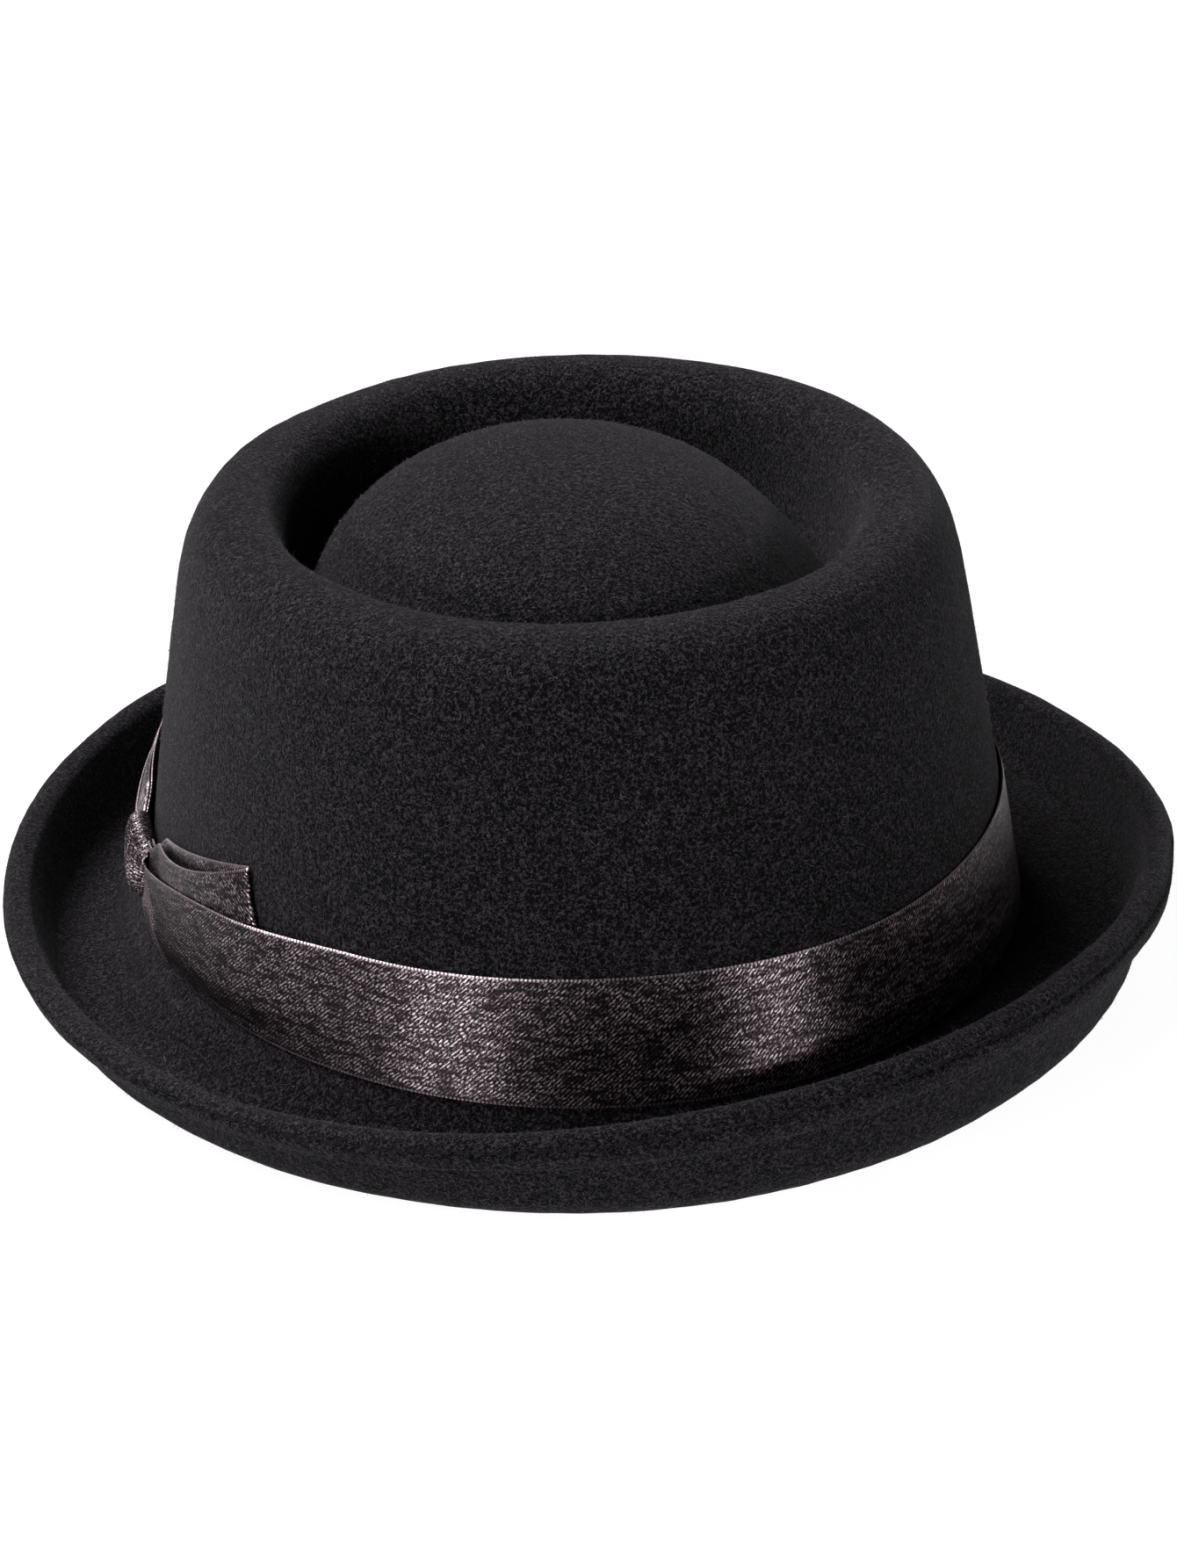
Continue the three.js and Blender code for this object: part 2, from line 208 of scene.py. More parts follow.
def crown_radius(z):
    """Outside of the crown's side at a height."""
    above = z - BREAK_Z
    return ROOT_RADIUS - SIDE_TAPER * above - SIDE_CURVE * above ** 2


def on_crown(out, degrees, height):
    """A point a distance out from the crown's felt, in metres."""
    return place(crown_radius(height) + out, degrees, height)


def bezier(a, b, c, d, steps):
    t = np.linspace(0, 1, steps + 1)[:, None]
    a, b, c, d = (np.array(p, float) for p in (a, b, c, d))
    return (1 - t) ** 3 * a + 3 * (1 - t) ** 2 * t * b + 3 * (1 - t) * t ** 2 * c + t ** 3 * d


def arc(centre, radius, start, end, steps):
    angle = np.radians(np.linspace(start, end, steps + 1))
    return np.array(centre) + np.stack([np.cos(angle), np.sin(angle)], 1) * radius


def lip_point(out, down):
    """A point near the lip: out from its middle across the roll, down along the rim."""
    run = np.array([math.cos(math.radians(CURL_ANGLE)), math.sin(math.radians(CURL_ANGLE))])
    across = np.array([run[1], -run[0]])
    return np.array([[LIP_RADIUS, LIP_Z]]) + across * out - run * down


def felt_middle():
    """Middle line of the felt, from the middle of the dome out to the turned edge."""
    half = FELT / 2
    shoulder = (crown_radius(SHOULDER_Z) - half, SHOULDER_Z)
    root = (crown_radius(BAND_Z - 0.3) - half, BAND_Z - 0.3)
    land = (TROUGH_RADIUS - LAND, half)
    dome_z, moat_z, ridge_z = DOME_Z - half, MOAT_Z - half, RIDGE_Z - half
    above = SHOULDER_Z + HANDLE["shoulder"]
    bend = root[1] - HANDLE["root"]
    dome = bezier((0, dome_z), (MOAT_RADIUS - HANDLE["dome"], dome_z),
                  (MOAT_RADIUS - HANDLE["moat"], moat_z), (MOAT_RADIUS, moat_z), 34)
    inner_wall = bezier((MOAT_RADIUS, moat_z), (MOAT_RADIUS + HANDLE["moat"], moat_z),
                        (RIDGE_RADIUS - HANDLE["ridge_inside"], ridge_z),
                        (RIDGE_RADIUS, ridge_z), 26)
    ridge = bezier((RIDGE_RADIUS, ridge_z), (RIDGE_RADIUS + HANDLE["ridge_outside"], ridge_z),
                   (crown_radius(above) - half, above), shoulder, 24)
    side_z = np.linspace(SHOULDER_Z, root[1], 26)[1:-1]
    side = np.stack([crown_radius(side_z) - half, side_z], 1)
    brim = bezier(root, (crown_radius(bend) - half, bend),
                  (land[0] - HANDLE["land"], half), land, 16)
    flat = np.stack([np.linspace(land[0], TROUGH_RADIUS, 5)[1:-1], np.full(3, half)], 1)
    curl = arc((TROUGH_RADIUS, CURL_RADIUS), CURL_RADIUS - half, -90, CURL_ANGLE - 90, 12)
    rim = np.concatenate([lip_point(half - ROLL, down) for down in (4.5, 3.3, TURNED_EDGE)])
    return np.concatenate([dome, inner_wall[1:], ridge[1:], side, brim, flat, curl, rim])


def offset(line, distance):
    """The line moved sideways, positive to the left of its run."""
    run = np.gradient(line, axis=0)
    side = np.stack([-run[:, 1], run[:, 0]], 1)
    return line + side / np.linalg.norm(side, axis=1, keepdims=True) * distance


def felt_outline():
    """The felt's whole section: upper face, rolled lip, turned edge and under face."""
    middle = felt_middle()
    upper, under = offset(middle, FELT / 2), offset(middle, -FELT / 2)
    upper[0, 0] = under[0, 0] = 0
    lip = arc((0, 0), 1, CURL_ANGLE + 90, CURL_ANGLE - 90, 36)
    at = np.linspace(CURL_ANGLE + 90, CURL_ANGLE - 90, 37)
    dip = GROOVE_DEPTH * np.clip(1 - ((at - STITCH_AT) / GROOVE_HALF) ** 2, 0, 1)
    lip = lip * (ROLL - dip)[:, None] + (LIP_RADIUS, LIP_Z)
    flap = [(ROLL, TURNED_EDGE - 1.1), (ROLL - 0.1, TURNED_EDGE - 0.5),
            (ROLL - 0.5, TURNED_EDGE - 0.1), (ROLL - 1.2, TURNED_EDGE), (1.0, TURNED_EDGE - 0.1),
            (0.55, TURNED_EDGE - 0.6), (0.4, 0.8), (0, 0), (-0.4, 0.8), (-0.5, TURNED_EDGE)]
    flap = np.concatenate([lip_point(out, down) for out, down in flap])
    return np.concatenate([upper, lip, flap, under[::-1][1:]])


# ---------------------------------------------------------------- mesh helpers

def ripple(points, lengths, seed):
    """Smooth unevenness between about -1 and 1, made of plane waves of those lengths."""
    random = np.random.default_rng(seed)
    total = np.zeros(points.shape[:-1])
    for length in lengths:
        direction = random.normal(size=3)
        direction /= np.linalg.norm(direction)
        phase = points @ direction * (2 * math.pi / length) + random.uniform(0, 2 * math.pi)
        total += np.sin(phase)
    return total / math.sqrt(len(lengths))


def new_object(name, vertices, faces, uv, material):
    """A smooth mesh object that rides on the hat. uv holds a pair for each face corner."""
    mesh = bpy.data.meshes.new(name)
    mesh.from_pydata(vertices.reshape(-1, 3).tolist(), [], faces)
    mesh.shade_smooth()
    if uv is not None:
        layer = mesh.uv_layers.new(name="along_across")
        layer.data.foreach_set("uv", np.asarray(uv, np.float32).ravel())
    mesh.materials.append(material)
    piece = bpy.data.objects.new(name, mesh)
    bpy.context.scene.collection.objects.link(piece)
    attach(piece, "root")
    return piece


def quads(rows, columns, wrap_rows=False, wrap_columns=False):
    """Corner numbers of the quads of a grid, and the row and column of each corner."""
    r = np.arange(rows if wrap_rows else rows - 1)[:, None]
    c = np.arange(columns if wrap_columns else columns - 1)[None, :]
    corners = [(r, c), (r, c + 1), (r + 1, c + 1), (r + 1, c)]
    faces = np.stack([(i % rows) * columns + j % columns for i, j in corners], -1)
    steps = np.stack([np.stack(np.broadcast_arrays(i, j), -1) for i, j in corners], -2)
    return faces.reshape(-1, 4), steps.reshape(-1, 4, 2)


def distances(points, axis):
    """How far each row or column lies from the first, in millimetres, on average."""
    step = np.linalg.norm(np.diff(points, axis=axis), axis=-1).mean(axis=1 - axis)
    return np.concatenate([[0], np.cumsum(step)]) / MM


def end_caps(rows, columns):
    """Faces that close both ends of a shell of rows by 2 * columns points."""
    first = np.arange(2 * columns)
    last = first[::-1] + (rows - 1) * 2 * columns
    return [[end[k + 1], end[k], end[-1 - k], end[-2 - k]]
            for end in (first, last) for k in range(columns - 1)]


def cloth(name, points, thickness, material, wrap=False, hem=0.0):
    """A thin closed sheet round a grid of middle points: rows run along it and columns
    across it. wrap joins its last row to the first, and hem thickens its two long edges."""
    rows, columns = points.shape[:2]
    along = np.gradient(points, axis=0)
    if wrap:
        along = np.roll(points, -1, 0) - np.roll(points, 1, 0)
    normal = np.cross(along, np.gradient(points, axis=1))
    normal /= np.linalg.norm(normal, axis=-1, keepdims=True)
    across = distances(points, 1)
    edge = np.minimum(across, across[-1] - across)
    half = thickness / 2 + hem * np.exp(-((edge - HEM_AT) / HEM_SPREAD) ** 2)
    half[[0, -1]] /= 2
    out = normal * (half * MM)[None, :, None]
    shell = np.concatenate([points + out, (points - out)[:, ::-1]], axis=1)
    faces, steps = quads(rows, 2 * columns, wrap, True)
    length = distances(np.concatenate([points, points[:1]]) if wrap else points, 0)
    over = np.concatenate([across, across[::-1], across[:1]])
    uv = np.stack([length[steps[..., 0]], over[steps[..., 1]]], -1)
    if not wrap:
        caps = end_caps(rows, columns)
        faces = np.concatenate([faces, caps])
        uv = np.concatenate([uv, np.zeros((len(caps), 4, 2))])
    piece = new_object(name, shell, faces.tolist(), uv, material)
    inset = np.tile(np.concatenate([edge, edge[::-1]]), rows).astype(np.float32)
    piece.data.attributes.new("from_edge", "FLOAT", "POINT").data.foreach_set("value", inset)
    return piece


def stitches(name, path, count, fill, radius, material):
    """A row of short threads. path(along) gives middle points and the way out from the
    cloth there, and fill is how much of the pitch each thread takes."""
    sides, steps = 6, 7
    bulge = np.sin(np.linspace(0.12, math.pi - 0.12, steps)) ** 0.5
    spin = np.linspace(0, 2 * math.pi, sides, endpoint=False)[None, :, None]
    ring, _ = quads(steps, sides, False, True)
    caps = [list(range(sides))[::-1], list(range((steps - 1) * sides, steps * sides))]
    shells, faces = [], []
    for k in range(count):
        middle, out = path((k + fill * np.linspace(0, 1, steps)) / count)
        run = np.gradient(middle, axis=0)
        run /= np.linalg.norm(run, axis=1, keepdims=True)
        side = np.cross(run, out)
        circle = out[:, None] * np.cos(spin) + side[:, None] * np.sin(spin)
        shells.append(middle[:, None] + circle * (radius * bulge * MM)[:, None, None])
        first = k * steps * sides
        faces += (ring + first).tolist() + [[i + first for i in cap] for cap in caps]
    return new_object(name, np.concatenate(shells), faces, None, material)


# ---------------------------------------------------------------- materials

class Look:
    """Builds one procedural material round a Principled shader."""

    def __init__(self, name, **sockets):
        self.material = bpy.data.materials.new(name)
        self.material.use_nodes = True
        self.tree = self.material.node_tree
        self.shader = self.tree.nodes["Principled BSDF"]
        for socket, value in sockets.items():
            self.shader.inputs[socket.replace("_", " ")].default_value = value
        self.normal = None

    def feed(self, socket, value):
        """Sets an input to a value, or links it to another node's output."""
        if isinstance(value, bpy.types.NodeSocket):
            self.tree.links.new(value, socket)
        else:
            socket.default_value = value

    def node(self, kind, **inputs):
        made = self.tree.nodes.new(kind)
        for socket, value in inputs.items():
            self.feed(made.inputs[socket.replace("_", " ")], value)
        return made

    def where(self, uv=False, stretch=(1, 1, 1), turn=0.0):
        """Millimetres along and across the surface, or in space. A texture comes out turned
        by those degrees and stretched along its own axes."""
        if uv:
            made = self.node("ShaderNodeUVMap")
            made.uv_map = "along_across"
            source = made.outputs["UV"]
        else:
            source = self.node("ShaderNodeTexCoord").outputs["Object"]
            stretch = tuple(s * MM for s in stretch)
        mapping = self.node("ShaderNodeMapping", Vector=source, Scale=stretch,
                            Rotation=(0, 0, math.radians(turn)))
        mapping.vector_type = "TEXTURE"
        return mapping.outputs[0]

    def noise(self, where, size, detail=2.0, distort=0.0):
        """Noise whose lumps are about size millimetres."""
        return self.node("ShaderNodeTexNoise", Vector=where, Scale=1 / size, Detail=detail,
                         Distortion=distort).outputs[0]

    def waves(self, where, pitch, distort=0.0, detail=2.0, detail_scale=1.0):
        """Parallel ridges, one every pitch millimetres along the first axis."""
        return self.node("ShaderNodeTexWave", Vector=where, Scale=0.314 / pitch,
                         Distortion=distort, Detail=detail, Detail_Scale=detail_scale).outputs[1]

    def ramp(self, value, *stops):
        """Colours or greys by value; each stop is (position, colour)."""
        made = self.node("ShaderNodeValToRGB", Fac=value)
        elements = made.color_ramp.elements
        while len(elements) < len(stops):
            elements.new(0.5)
        for element, (position, colour) in zip(elements, stops, strict=True):
            element.position = position
            element.color = (*colour, 1) if isinstance(colour, tuple) else (colour,) * 3 + (1,)
        return made.outputs[0]

    def combine(self, kind, a, b):
        made = self.tree.nodes.new("ShaderNodeMath")
        made.operation = kind
        self.feed(made.inputs[0], a)
        self.feed(made.inputs[1], b)
        return made.outputs[0]

    def mix(self, factor, a, b):
        """The colour a where factor is 0 and b where it is 1."""
        made = self.tree.nodes.new("ShaderNodeMix")
        made.data_type = "RGBA"
        self.feed(made.inputs[0], factor)
        for index, colour in ((6, a), (7, b)):
            self.feed(made.inputs[index], (*colour, 1) if isinstance(colour, tuple) else colour)
        return made.outputs[2]

    def bump(self, height, depth):
        """Adds relief that is depth millimetres high; calls stack up."""
        made = self.node("ShaderNodeBump", Height=height, Distance=depth * MM)
        if self.normal:
            self.feed(made.inputs["Normal"], self.normal)
        self.normal = made.outputs[0]

    def finish(self, colour, roughness=None):
        """Links the colour, the roughness if it varies, and the relief to the shader."""
        self.feed(self.shader.inputs["Base Color"], colour)
        if roughness:
            self.feed(self.shader.inputs["Roughness"], roughness)
        if self.normal:
            self.feed(self.shader.inputs["Normal"], self.normal)
        return self.material


def felt_look():
    """Napped wool: matted fibres of slightly different greys and a soft sheen."""
    look = Look("black_wool_felt", Roughness=0.95, Specular_IOR_Level=0.04, Sheen_Weight=0.05,
                Sheen_Roughness=0.4, Sheen_Tint=(0.92, 0.88, 0.95, 1))
    space = look.where()
    patches = look.noise(space, 28, 3)
    matted = look.noise(space, 1.1, 4, 0.6)
    flecks = look.noise(space, 0.62, 3, 1.0)
    ground = look.mix(look.ramp(patches, (0.35, 0.0), (0.7, 1.0)),
                      (0.0009, 0.0008, 0.0010), (0.0017, 0.0014, 0.0017))
    light = look.ramp(flecks, (0.48, 0.0), (0.66, 1.0))
    colour = look.mix(light, ground, (0.027, 0.0235, 0.027))
    look.bump(matted, 0.5)
    look.bump(flecks, 0.55)
    return look.finish(colour)


def fibre_look():
    """Single wool fibres, a little lighter than the felt they stand on."""
    look = Look("loose_wool_fibre", Roughness=0.6, Specular_IOR_Level=0.35, Sheen_Weight=0.1)
    shade = look.noise(look.where(), 2.5, 1)
    return look.finish(look.ramp(shade, (0.3, (0.014, 0.0125, 0.014)), (0.7, (0.07, 0.062, 0.068))))


def satin_look(name, dark, bright, pitch):
    """Satin: a fine slanting twill with dark streaks along it. Its base colour, mostly read as
    metallic reflectance, carries painted glints on single threads and painted dotted
    highlights along each edge."""
    look = Look(name, Metallic=0.88, Roughness=0.4, Anisotropic=0.95,
                Anisotropic_Rotation=0.25)
    tangent = look.node("ShaderNodeTangent")
    tangent.direction_type = "UV_MAP"
    tangent.uv_map = "along_across"
    look.feed(look.shader.inputs["Tangent"], tangent.outputs[0])
    twill = look.waves(look.where(uv=True, turn=TWILL_ANGLE - 90), pitch, 0.8, 2.0, 1.2)
    slant = look.where(uv=True, stretch=(2.2, 1, 1), turn=TWILL_ANGLE)
    threads = look.noise(slant, 0.34, 3)
    streaks = look.noise(look.where(uv=True, stretch=(5, 1, 1)), 1.0, 4)
    creases = look.noise(look.where(uv=True, stretch=(8, 2, 1)), 1.6, 3)
    from_edge = look.node("ShaderNodeAttribute")
    from_edge.attribute_name = "from_edge"
    dots = look.waves(look.where(uv=True), 0.8, 1.0)
    at_edge = look.ramp(from_edge.outputs["Fac"], (0.1, 1.0), (0.5, 0.0))
    # Painted glints: brighter base colour on single twill threads, fewer along the dark streaks.
    lit = look.combine("MULTIPLY", look.ramp(threads, (0.47, 0.0), (0.60, 1.0)),
                    look.ramp(streaks, (0.40, 0.1), (0.54, 1.0)))
    glint = look.combine("MULTIPLY", look.ramp(twill, (0.2, 0.1), (0.8, 1.0)), lit)
    # Painted highlight: dotted bright base colour along each edge of the ribbon.
    edge_painted_highlight = look.combine("MULTIPLY", dots, at_edge)
    colour = look.mix(look.combine("MAXIMUM", glint, edge_painted_highlight), dark, bright)
    roughness = look.ramp(threads, (0.35, 0.46), (0.65, 0.32))
    look.bump(creases, 0.2)
    look.bump(twill, 0.015)
    look.bump(threads, 0.02)
    return look.finish(colour, roughness)


def thread_look():
    """Twisted sewing thread."""
    look = Look("black_thread", Roughness=0.8, Specular_IOR_Level=0.1, Sheen_Weight=0.05)
    twist = look.noise(look.where(), 0.25, 2)
    look.bump(twist, 0.05)
    colour = look.ramp(twist, (0.3, (0.003, 0.0027, 0.003)), (0.7, (0.012, 0.011, 0.012)))
    return look.finish(colour)


def leather_look():
    """Fine-grained brown-black leather with pores, pale rubbed spots and soft wrinkles."""
    look = Look("sweatband_leather", Roughness=0.5, Specular_IOR_Level=0.45)
    space = look.where()
    cells = look.node("ShaderNodeTexVoronoi", Vector=space, Scale=1 / 1.1).outputs[0]
    wear = look.noise(space, 18, 4)
    wrinkles = look.noise(look.where(uv=True, stretch=(4, 1, 1)), 5, 3)
    colour = look.mix(look.ramp(wear, (0.35, 0.0), (0.75, 1.0)),
                      (0.02, 0.0125, 0.009), (0.042, 0.027, 0.019))
    roughness = look.ramp(wear, (0.3, 0.58), (0.7, 0.42))
    look.bump(wrinkles, 0.5)
    look.bump(cells, 0.12)
    return look.finish(colour, roughness)


def tape_look():
    """Plain-woven cotton tape."""
    look = Look("black_cotton_tape", Roughness=0.85, Specular_IOR_Level=0.2, Sheen_Weight=0.08)
    over = look.waves(look.where(uv=True), 0.6)
    under = look.waves(look.where(uv=True, turn=90), 0.6)
    weave = look.combine("MULTIPLY", over, under)
    look.bump(weave, 0.12)
    return look.finish(look.ramp(weave, (0.1, (0.007, 0.0065, 0.007)), (0.9, (0.02, 0.019, 0.02))))


def plastic_look():
    """Clear-grey extruded plastic with faint flow lines."""
    look = Look("reed_plastic", Roughness=0.35)
    lines = look.noise(look.where(stretch=(6, 6, 1)), 2.0, 2)
    look.bump(lines, 0.03)
    return look.finish(look.ramp(lines, (0.3, (0.60, 0.57, 0.50)), (0.7, (0.72, 0.69, 0.61))))


def label_look():
    """Woven white label, blank."""
    look = Look("blank_label_cloth", Roughness=0.75, Specular_IOR_Level=0.25)
    over = look.waves(look.where(uv=True), 0.3)
    under = look.waves(look.where(uv=True, turn=90), 0.3)
    weave = look.combine("MULTIPLY", over, under)
    look.bump(weave, 0.05)
    return look.finish(look.ramp(weave, (0.0, (0.50, 0.48, 0.43)), (1.0, (0.78, 0.76, 0.70))))


def floor_look():
    """Plain white floor, bright enough to lose the hat's shadow."""
    look = Look("pale_floor", Roughness=0.9, Specular_IOR_Level=0.1,
                Emission_Color=(1, 1, 1, 1), Emission_Strength=0.95)
    speckle = look.noise(look.where(), 40, 2)
    return look.finish(look.ramp(speckle, (0.3, (0.11, 0.11, 0.11)), (0.7, (0.14, 0.14, 0.14))))


# ---------------------------------------------------------------- felt

def felt_grid():
    """The felt's section, then the points and normals of its surface: angles round the hat
    by points of the section. The surface is slightly uneven wherever it shows."""
    outline = felt_outline()
    turns = np.linspace(0, 360, FELT_TURNS + 1)[:-1]
    points = place(outline[None, :, 0], turns[:, None], outline[None, :, 1])
    normal = np.cross(np.gradient(points, axis=1), np.roll(points, -1, 0) - np.roll(points, 1, 0))
    normal /= np.maximum(np.linalg.norm(normal, axis=-1, keepdims=True), 1e-12)
    above_band = smooth(outline[:, 1], BAND_Z + BAND_HEIGHT + 12, BAND_Z + BAND_HEIGHT + 22)
    brim = smooth(outline[:, 0], ROOT_RADIUS + 3, ROOT_RADIUS + 9)
    free = np.maximum(above_band, brim)
    free[-1] = free[0]
    broad = BROAD_HEIGHT * ripple(points / MM, BROAD_WAVES, SEED)
    fine = FINE_HEIGHT * ripple(points / MM, FINE_WAVES, SEED + 1)
    uneven = (broad + fine) * free
    for middle in (0, -1):
        uneven[:, middle] = uneven[:, middle].mean()
    on_land = (points[..., 2] < 0.4 * MM) & (normal[..., 2] < 0)
    uneven[on_land] = 0
    return outline, points + normal * (uneven * MM)[..., None], normal


def felt_body(points, material):
    faces, _ = quads(*points.shape[:2], True, False)
    body = new_object("felt_crown_and_brim", points, faces.tolist(), None, material)
    weld = body.modifiers.new("weld", "WELD")
    weld.merge_threshold = 0.002 * MM
    with bpy.context.temp_override(object=body, active_object=body):
        bpy.ops.object.modifier_apply(modifier="weld")
    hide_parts("felt_body")


def bare_felt(outline):
    """How much felt each step of the section has that shows and may carry fibres."""
    radius, height = outline[:-1].T
    step = np.linalg.norm(np.diff(outline, axis=0), axis=1)
    upper = np.arange(len(step)) < np.argmax(outline[:, 0])
    crown = radius < ROOT_RADIUS + 2.3
    under_band = upper & crown & (height > 8) & (height < BAND_Z + BAND_HEIGHT + 2)
    inside = ~upper & crown
    resting = ~upper & (height < 2)
    share = step * (outline[1:, 0] + outline[:-1, 0]) / 2
    share[under_band | inside | resting] = 0
    return share / share.sum()


def nap(outline, points, normal, material):
    """Loose wool fibres standing off the felt: each has a stem, a knee and a curled tip."""
    random = np.random.default_rng(SEED)
    share = bare_felt(outline)
    column = random.choice(len(share), FIBRES, p=share)
    row = random.integers(0, len(points), FIBRES)
    part, turn = random.random((2, FIBRES, 1))
    after = (row + 1) % len(points)
    base = lerp(lerp(points[row, column], points[row, column + 1], part),
                lerp(points[after, column], points[after, column + 1], part), turn)
    up = normal[row, column]
    lie = np.cross(up, random.normal(size=(FIBRES, 3)))
    lie /= np.linalg.norm(lie, axis=1, keepdims=True)
    length = random.gamma(3.0, 0.17, (FIBRES, 1)).clip(*FIBRE_LENGTH) * MM
    rise = random.uniform(*FIBRE_RISE, (FIBRES, 1))
    across = np.cross(lie, up) * FIBRE_WIDTH * MM
    knee = base + (lie * 0.45 + up * rise * 0.45) * length
    curl = random.normal(0, 0.25, (FIBRES, 3))
    tip = knee + (lie * 0.55 + up * (rise * 0.25 - 0.05) + curl) * length
    base = base - up * 0.05 * MM
    vertices = np.stack([base - across, base + across, knee + across, knee - across, tip], 1)
    first = np.arange(FIBRES)[:, None] * 5
    faces = (first + [0, 1, 2, 3]).tolist() + (first + [3, 2, 4]).tolist()
    new_object("felt_nap", vertices, faces, None, material)


def lip_thread(material):
    """Stitches sunk in the groove of the turned edge."""
    fold = math.radians(STITCH_AT)
    depth = ROLL - GROOVE_DEPTH + 0.05
    radius = LIP_RADIUS + depth * math.cos(fold)
    height = LIP_Z + depth * math.sin(fold)

    def path(along):
        middle = place(radius, along * 360, height)
        out = middle - place(LIP_RADIUS, along * 360, LIP_Z)
        return middle, out / np.linalg.norm(out, axis=1, keepdims=True)

    row = stitches("edge_stitches", path, LIP_STITCHES, 0.78, 0.2, material)
    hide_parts("edge_stitching")


# ---------------------------------------------------------------- ribbon

def ribbon_band(material):
    """The band: over the wings near the bow, then close round the crown. Its steps are
    closer together near the knot."""
    along = np.linspace(0, 1, 521)
    along = along - 0.6 * np.sin(2 * np.pi * along) / (2 * np.pi)
    turn = lerp(RIBBON_ROOT, 360 - RIBBON_ROOT, along)[:, None]
    away = np.minimum(turn, 360 - turn)
    up = np.linspace(0, 1, 27)[None, :]
    over_wing = 1 - smooth(away, WING_REACH - 4, WING_REACH + 18)
    by_knot = 1 - smooth(away, KNOT_REACH + 2, KNOT_REACH + 9)
    above_hem = smooth(up, 0, 0.4)
    lift = lerp(GAP, BAND_OVER_WING, over_wing * lerp(above_hem, 1, by_knot)) + RIBBON / 2
    loose = 0.12 * (1 + np.sin(np.radians(turn * 7))) * smooth(away, 40, 60)
    low = lerp(BAND_ROOT_Z[0], 0, smooth(away, KNOT_REACH, KNOT_REACH + 8))
    high = lerp(BAND_HEIGHT, BAND_ROOT_Z[1], np.exp(-(away / 21) ** 1.6))
    wander = 0.25 * np.sin(np.radians(turn * 5 + 40)) * up
    height = BAND_Z + lerp(low, high, up) + wander
    points = on_crown(lift + loose, BOW_AT + turn, height)
    band = cloth("ribbon_band", points, BAND_CLOTH, material, hem=HEM)
    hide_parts("hat_band")


def wing_layers(away, up, near):
    """How far a wing's back and front layers stand off the felt. The near wing's front layer
    swings open at the top; the far wing's bulges like a pillow and closes at the top."""
    share = away / WING_REACH
    swell = np.sin(np.pi * np.clip((away - KNOT_REACH) / (WING_REACH - KNOT_REACH), 0, 1))
    root = 1.1 * (1 - smooth(away, KNOT_REACH, KNOT_REACH + 4))
    inner = GAP + RIBBON / 2 + root
    back = inner + 0.9 * swell * up ** 2
    if near:
        front = inner + RIBBON + GAP + WING_PARTING * swell ** 1.2 + swell * up ** 2
    else:
        pillow = PILLOW * (1 - share) * smooth(away, KNOT_REACH - 2, KNOT_REACH + 4)
        front = back + WING_PLY + pillow * (1 - up ** 2) ** 0.6
    return back, front


def wing_heights(away, layer, up):
    """Heights on a wing, whose top rises in a hump out of the knot and whose front layer
    sags, and the degrees by which the foot of its fold slants outwards."""
    reach = np.clip((away - KNOT_REACH - 1) / (WING_REACH - KNOT_REACH - 1), 0, 1)
    hump = 3.2 * smooth(reach, 0, 0.12) * (1 - reach)
    low = lerp(WING_ROOT_Z[0], WING_TIP_Z[0], reach)
    high = lerp(WING_ROOT_Z[1], WING_TIP_Z[1] - 0.6, reach) + hump
    sag = WING_SAG * layer * np.sin(np.pi * reach) * up ** 2
    slant = 7 * reach ** 3 * (1 - up) ** 1.6
    return BAND_Z + lerp(low, high, up) - sag, slant


def bow_wing(name, node, side, material):
    """A loop of ribbon: out of the knot along the felt, round a slanting fold and back in
    front. side is 1 for the near wing and -1 for the far one."""
    steps, fold_steps = 26, 9
    up = np.linspace(0, 1, 21)[None, :]
    away = lerp(RIBBON_ROOT, WING_REACH - 1, np.linspace(0, 1, steps) ** 1.2)[:, None]
    back, front = wing_layers(away, up, side > 0)
    spin = np.linspace(0, math.pi, fold_steps + 2)[1:-1, None]
    ply = (RIBBON + GAP) / 2
    fold = GAP + RIBBON / 2 + ply - ply * np.cos(spin) + 0 * up
    out = np.concatenate([back, fold, front[::-1]])
    away = np.concatenate([away, WING_REACH - 1 + 0.6 * np.sin(spin), away[::-1]])
    layer = np.concatenate([np.zeros(steps), np.linspace(0, 1, fold_steps), np.ones(steps)])
    height, slant = wing_heights(away, layer[:, None], up)
    points = on_crown(out, BOW_AT + side * (away + slant), height)[::side]
    wing = cloth(name, points, WING_CLOTH, material, hem=HEM)
    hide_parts(node)


def bow_knot(material):
    """A short length of ribbon wrapped crosswise, pulled in at both sides and gathered into
    slanting pleats."""
    spin = np.linspace(0, 2 * math.pi, 161)[:-1, None]
    over = np.linspace(-1, 1, 121)[None, :]
    cosine, sine = np.cos(spin), np.sin(spin)
    square = 0.7
    bulk = 1 - 0.42 * np.abs(over) ** 2.6
    proud = 0.5 + 0.5 * np.sign(cosine) * np.abs(cosine) ** square
    out = GAP + 0.4 + (KNOT_DEPTH - GAP - 0.6) * proud * bulk
    half = (KNOT_HEIGHT - 2.2) / 2
    height = KNOT_Z + 1.6 + half + half * bulk * np.sign(sine) * np.abs(sine) ** square
    pleats = PLEAT * np.sin(2 * math.pi * over * PLEATS - spin * 9) * smooth(cosine, -0.5, 0.4)
    swing = (KNOT_Z + KNOT_HEIGHT / 2 - height) * 0.22
    points = on_crown(out + pleats, BOW_AT + over * KNOT_REACH * 1.25 + swing, height)
    knot = cloth("ribbon_knot", points[::-1], WING_CLOTH, material, wrap=True)
    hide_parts("bow_knot")


# ---------------------------------------------------------------- inside

def joint_gap(steps):
    """Degrees round the hat from one side of the joint at the back to the other."""
    return np.linspace(BACK + 0.25, BACK + 359.75, steps)[:, None]


